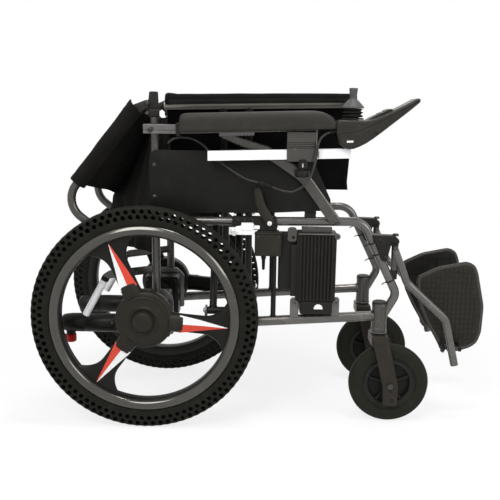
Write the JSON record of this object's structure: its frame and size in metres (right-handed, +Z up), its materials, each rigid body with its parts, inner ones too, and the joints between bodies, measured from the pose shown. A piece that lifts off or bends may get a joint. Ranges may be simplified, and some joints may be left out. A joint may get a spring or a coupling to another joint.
{
  "type": "folding power wheelchair",
  "caption": "Folding power wheelchair, stored folded: scissor cross frame, geared rear drive wheels, front casters, fold-down back, flip-up arms, joystick, swing-away footrests.",
  "frame": {"origin": "on the ground, under the middle of the bounding box of the folded chair", "axes": "+X to the front of the chair, where the casters and footrests are; +Y to the user's left; +Z up"},
  "size_m": [1.145, 0.48, 0.8405],
  "materials": {
    "battery_alloy": "dark grey finned housing",
    "black_cast": "satin black paint on metal",
    "black_cloth": "black nylon weave with grey edging",
    "black_plastic": "fine-grained moulded black",
    "bright_bar": "bright aluminium tube",
    "cable_black": "smooth black sheath",
    "frame_grey": "satin grey powder coat",
    "lever_olive": "dark olive grey handle",
    "motor_black": "black anodised casting",
    "pad_grey": "dark olive grey self-skinned foam",
    "plated": "zinc plated steel",
    "red_trim": "red moulded trim",
    "soft_rubber": "dull black",
    "tyre_rubber": "solid airless tyre, dull black",
    "wheel_composite": "satin black reinforced moulding"
  },
  "bodies": {
    "right_frame": {"side_frame_right": "frame_grey", "side_panel_right": "black_plastic", "gear_motor_right": "motor_black", "cane_hinge_right": "black_cast", "battery_case": "battery_alloy", "control_box": "black_plastic"},
    "left_frame": {"side_frame_left": "frame_grey", "side_panel_left": "black_plastic", "gear_motor_left": "motor_black", "cane_hinge_left": "black_cast"},
    "brace_a": {"cross_brace_a": "frame_grey", "cross_bolt": "plated"},
    "brace_b": {"cross_brace_b": "frame_grey"},
    "seat_half_right": {"seat_sling_right": "black_cloth"},
    "seat_half_left": {"seat_sling_left": "black_cloth"},
    "lower_back_half_left": {"lower_back_left": "black_cloth"},
    "lower_back_half_right": {"lower_back_right": "black_cloth"},
    "upper_back_half_left": {"upper_back_left": "black_cloth"},
    "upper_back_half_right": {"upper_back_right": "black_cloth"},
    "cane_right": {"back_cane_right": "frame_grey", "push_grip_right": "soft_rubber"},
    "cane_left": {"back_cane_left": "frame_grey", "push_grip_left": "soft_rubber"},
    "arm_right": {"armrest_frame_right": "frame_grey", "armrest_pad_right": "pad_grey", "bar_clamp": "black_plastic", "control_cable": "cable_black", "cable_connector": "black_plastic"},
    "arm_left": {"armrest_frame_left": "frame_grey", "armrest_pad_left": "pad_grey"},
    "control_arm": {"joystick_bar": "bright_bar", "joystick_case": "black_plastic"},
    "clamp_screw": {"clamp_knob": "black_plastic"},
    "gimbal": {"joystick_boot": "soft_rubber"},
    "stick": {"joystick_lever": "black_plastic"},
    "power_key": {"power_button": "lever_olive"},
    "speed_key": {"speed_button": "lever_olive"},
    "horn_key": {"horn_button": "lever_olive"},
    "drive_right": {"drive_wheel_right": "wheel_composite", "drive_tyre_right": "tyre_rubber", "wheel_star_right": "red_trim"},
    "caster_right": {"caster_fork_right": "black_cast"},
    "caster_roller_right": {"caster_wheel_right": "wheel_composite", "caster_tyre_right": "tyre_rubber"},
    "hanger_right": {"footrest_hanger_right": "frame_grey"},
    "footplate_body_right": {"footplate_right": "black_plastic"},
    "brake_right": {"brake_lever_right": "lever_olive"},
    "brake_pad_right": {"brake_shoe_right": "plated"},
    "clutch_right": {"clutch_lever_right": "red_trim"},
    "drive_left": {"drive_wheel_left": "wheel_composite", "drive_tyre_left": "tyre_rubber", "wheel_star_left": "red_trim"},
    "caster_left": {"caster_fork_left": "black_cast"},
    "caster_roller_left": {"caster_wheel_left": "wheel_composite", "caster_tyre_left": "tyre_rubber"},
    "hanger_left": {"footrest_hanger_left": "frame_grey"},
    "footplate_body_left": {"footplate_left": "black_plastic"},
    "brake_left": {"brake_lever_left": "lever_olive"},
    "brake_pad_left": {"brake_shoe_left": "plated"},
    "clutch_left": {"clutch_lever_left": "red_trim"}
  },
  "joints": [
    {"name": "frame_fold", "type": "hinge", "parent": "right_frame", "child": "brace_a", "pos_m": [-0.0925, -0.1304, 0.283], "axis": [-1, 0, 0], "range_deg": [0, 34.4]},
    {"name": "brace_cross", "type": "hinge", "parent": "brace_a", "child": "brace_b", "pos_m": [-0.0925, 0, 0.5395], "axis": [-1, 0, 0], "range_deg": [-68.8, 0]},
    {"name": "left_frame_swing", "type": "hinge", "parent": "brace_b", "child": "left_frame", "pos_m": [-0.0925, 0.1304, 0.283], "axis": [-1, 0, 0], "range_deg": [0, 34.4]},
    {"name": "seat_right_spread", "type": "hinge", "parent": "brace_b", "child": "seat_half_right", "pos_m": [-0.0925, -0.1304, 0.796], "axis": [1, 0, 0], "range_deg": [0, 24.52], "deforming": ["seat_sling_right"]},
    {"name": "seat_left_spread", "type": "hinge", "parent": "brace_a", "child": "seat_half_left", "pos_m": [-0.0925, 0.1304, 0.796], "axis": [-1, 0, 0], "range_deg": [0, 24.52], "deforming": ["seat_sling_left"]},
    {"name": "lower_back_left_draw", "type": "slide", "parent": "left_frame", "child": "lower_back_half_left", "axis": [0.3113, -0.9503, 0], "range_m": [0, 0.12859], "deforming": ["lower_back_left"]},
    {"name": "lower_back_right_draw", "type": "slide", "parent": "lower_back_half_left", "child": "lower_back_half_right", "axis": [-0.3113, -0.9503, 0], "range_m": [0, 0.12859], "deforming": ["lower_back_right"]},
    {"name": "back_fold_right", "type": "hinge", "parent": "right_frame", "child": "cane_right", "pos_m": [-0.28765, -0.1424, 0.8], "axis": [0, 1, 0], "range_deg": [0, 141.6]},
    {"name": "back_fold_left", "type": "hinge", "parent": "left_frame", "child": "cane_left", "pos_m": [-0.28765, 0.1424, 0.8], "axis": [0, 1, 0], "range_deg": [0, 141.6]},
    {"name": "upper_back_left_draw", "type": "slide", "parent": "cane_left", "child": "upper_back_half_left", "axis": [-0.2971, -0.9255, 0.235], "range_m": [0, 0.13203], "deforming": ["upper_back_left"]},
    {"name": "upper_back_right_draw", "type": "slide", "parent": "upper_back_half_left", "child": "upper_back_half_right", "axis": [0.2971, -0.9255, -0.235], "range_m": [0, 0.13203], "deforming": ["upper_back_right"]},
    {"name": "armrest_right_flip", "type": "hinge", "parent": "right_frame", "child": "arm_right", "pos_m": [-0.271, -0.172, 0.7406], "axis": [0, -1, 0], "range_deg": [0, 100]},
    {"name": "drive_wheel_right_spin", "type": "hinge", "parent": "right_frame", "child": "drive_right", "pos_m": [-0.2925, -0.201, 0.28], "axis": [0, 1, 0], "continuous": true},
    {"name": "caster_right_swivel", "type": "hinge", "parent": "right_frame", "child": "caster_right", "pos_m": [0.294, -0.1424, 0.24], "axis": [0, 0, 1], "continuous": true},
    {"name": "caster_right_roll", "type": "hinge", "parent": "caster_right", "child": "caster_roller_right", "pos_m": [0.3251, -0.1424, 0.1022], "axis": [0, 1, 0], "continuous": true},
    {"name": "footrest_right_swing", "type": "hinge", "parent": "right_frame", "child": "hanger_right", "pos_m": [0.325, -0.1424, 0.43], "axis": [0, 0, -1], "range_deg": [0, 90]},
    {"name": "footplate_right_drop", "type": "hinge", "parent": "hanger_right", "child": "footplate_body_right", "pos_m": [0.4925, -0.1244, 0.19], "axis": [-1, 0, 0], "range_deg": [0, 90.01]},
    {"name": "brake_right_pull", "type": "hinge", "parent": "right_frame", "child": "brake_right", "pos_m": [0.0105, -0.173, 0.518], "axis": [0, 1, 0], "range_deg": [0, 35]},
    {"name": "brake_right_press", "type": "slide", "parent": "right_frame", "child": "brake_pad_right", "axis": [-0.7061, 0, -0.7081], "range_m": [0, 0.02155]},
    {"name": "clutch_right_turn", "type": "hinge", "parent": "right_frame", "child": "clutch_right", "pos_m": [-0.5065, -0.093, 0.19], "axis": [0, 0, 1], "range_deg": [0, 90]},
    {"name": "armrest_left_flip", "type": "hinge", "parent": "left_frame", "child": "arm_left", "pos_m": [-0.271, 0.172, 0.7406], "axis": [0, -1, 0], "range_deg": [0, 100]},
    {"name": "drive_wheel_left_spin", "type": "hinge", "parent": "left_frame", "child": "drive_left", "pos_m": [-0.2925, 0.201, 0.28], "axis": [0, 1, 0], "continuous": true},
    {"name": "caster_left_swivel", "type": "hinge", "parent": "left_frame", "child": "caster_left", "pos_m": [0.294, 0.1424, 0.24], "axis": [0, 0, 1], "continuous": true},
    {"name": "caster_left_roll", "type": "hinge", "parent": "caster_left", "child": "caster_roller_left", "pos_m": [0.3251, 0.1424, 0.1022], "axis": [0, 1, 0], "continuous": true},
    {"name": "footrest_left_swing", "type": "hinge", "parent": "left_frame", "child": "hanger_left", "pos_m": [0.325, 0.1424, 0.43], "axis": [0, 0, 1], "range_deg": [0, 90]},
    {"name": "footplate_left_drop", "type": "hinge", "parent": "hanger_left", "child": "footplate_body_left", "pos_m": [0.4925, 0.1244, 0.19], "axis": [1, 0, 0], "range_deg": [0, 90.01]},
    {"name": "brake_left_pull", "type": "hinge", "parent": "left_frame", "child": "brake_left", "pos_m": [0.0105, 0.173, 0.518], "axis": [0, 1, 0], "range_deg": [0, 35]},
    {"name": "brake_left_press", "type": "slide", "parent": "left_frame", "child": "brake_pad_left", "axis": [-0.7061, 0, -0.7081], "range_m": [0, 0.02155]},
    {"name": "clutch_left_turn", "type": "hinge", "parent": "left_frame", "child": "clutch_left", "pos_m": [-0.5065, 0.093, 0.19], "axis": [0, 0, -1], "range_deg": [0, 90]},
    {"name": "joystick_bar_slide", "type": "slide", "parent": "arm_right", "child": "control_arm", "axis": [0.9996, 0, 0.03], "range_m": [0, 0.08]},
    {"name": "clamp_knob_turn", "type": "hinge", "parent": "arm_right", "child": "clamp_screw", "pos_m": [0.0865, -0.1905, 0.65], "axis": [0, 0, 1], "range_deg": [0, 540]},
    {"name": "stick_side", "type": "hinge", "parent": "control_arm", "child": "gimbal", "pos_m": [0.201, -0.183, 0.77], "axis": [1, 0, 0], "range_deg": [-16, 16], "stiffness_Nm_per_rad": 0.25, "deforming": ["joystick_boot"]},
    {"name": "stick_fore", "type": "hinge", "parent": "gimbal", "child": "stick", "pos_m": [0.201, -0.183, 0.77], "axis": [0, 1, 0], "range_deg": [-16, 16], "stiffness_Nm_per_rad": 0.25, "deforming": ["joystick_boot"]},
    {"name": "power_press", "type": "slide", "parent": "control_arm", "child": "power_key", "axis": [0.3983, 0, -0.9173], "range_m": [0, 0.0015], "stiffness_N_per_m": 700},
    {"name": "speed_press", "type": "slide", "parent": "control_arm", "child": "speed_key", "axis": [0.3983, 0, -0.9173], "range_m": [0, 0.0015], "stiffness_N_per_m": 700},
    {"name": "horn_press", "type": "slide", "parent": "control_arm", "child": "horn_key", "axis": [0.3983, 0, -0.9173], "range_m": [0, 0.0015], "stiffness_N_per_m": 700}
  ],
  "couplings": [
    {"joint": "brace_cross", "follows": "frame_fold", "ratio": -2},
    {"joint": "left_frame_swing", "follows": "frame_fold", "ratio": 1},
    {"joint": "seat_right_spread", "follows": "frame_fold", "ratio": 0.7125},
    {"joint": "seat_left_spread", "follows": "frame_fold", "ratio": 0.7125},
    {"joint": "lower_back_left_draw", "follows": "frame_fold", "m_per_rad": 0.214},
    {"joint": "lower_back_right_draw", "follows": "frame_fold", "m_per_rad": 0.214},
    {"joint": "back_fold_left", "follows": "back_fold_right", "ratio": 1},
    {"joint": "upper_back_left_draw", "follows": "frame_fold", "m_per_rad": 0.21974},
    {"joint": "upper_back_right_draw", "follows": "frame_fold", "m_per_rad": 0.21974},
    {"joint": "footplate_right_drop", "follows": "frame_fold", "ratio": 2.6163},
    {"joint": "brake_right_press", "follows": "brake_right_pull", "m_per_rad": 0.035196},
    {"joint": "footplate_left_drop", "follows": "frame_fold", "ratio": 2.6163},
    {"joint": "brake_left_press", "follows": "brake_left_pull", "m_per_rad": 0.035196}
  ]
}
